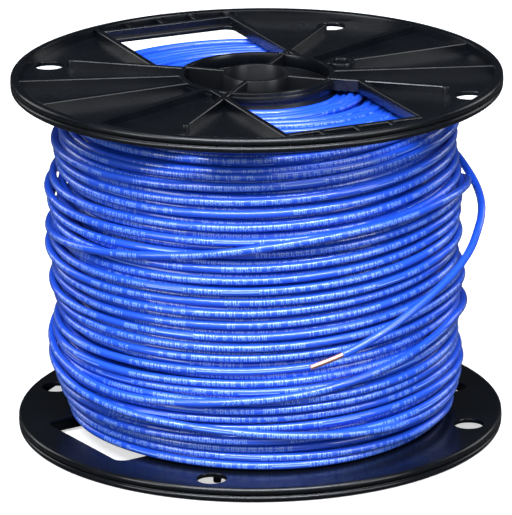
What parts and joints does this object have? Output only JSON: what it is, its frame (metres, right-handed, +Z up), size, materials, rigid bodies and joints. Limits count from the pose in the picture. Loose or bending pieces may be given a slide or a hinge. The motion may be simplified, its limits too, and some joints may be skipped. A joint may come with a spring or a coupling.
{
  "type": "wire spool",
  "caption": "Black moulded reel with two ribbed, windowed flanges and a webbed hub, wound with blue jacketed building wire whose bared end hangs loose.",
  "frame": {"origin": "On the arbor axis, in the plane of the lower rim that the reel stands on.", "axes": "+Z up along the arbor axis; -Y is the side the wire's loose end hangs on, +X is to its right."},
  "size_m": [0.1844, 0.1844, 0.138],
  "materials": {
    "flange_plastic": "satin black moulded polystyrene",
    "hub_plastic": "satin black moulded polystyrene",
    "wire_jacket": "glossy blue nylon jacket",
    "copper": "bright drawn copper"
  },
  "bodies": {
    "root": {"upper_flange": "flange_plastic", "lower_flange": "flange_plastic", "upper_hub": "hub_plastic", "lower_hub": "hub_plastic", "wire_winding": "wire_jacket", "loose_end_jacket": "wire_jacket", "bare_conductor": "copper"}
  },
  "joints": []
}
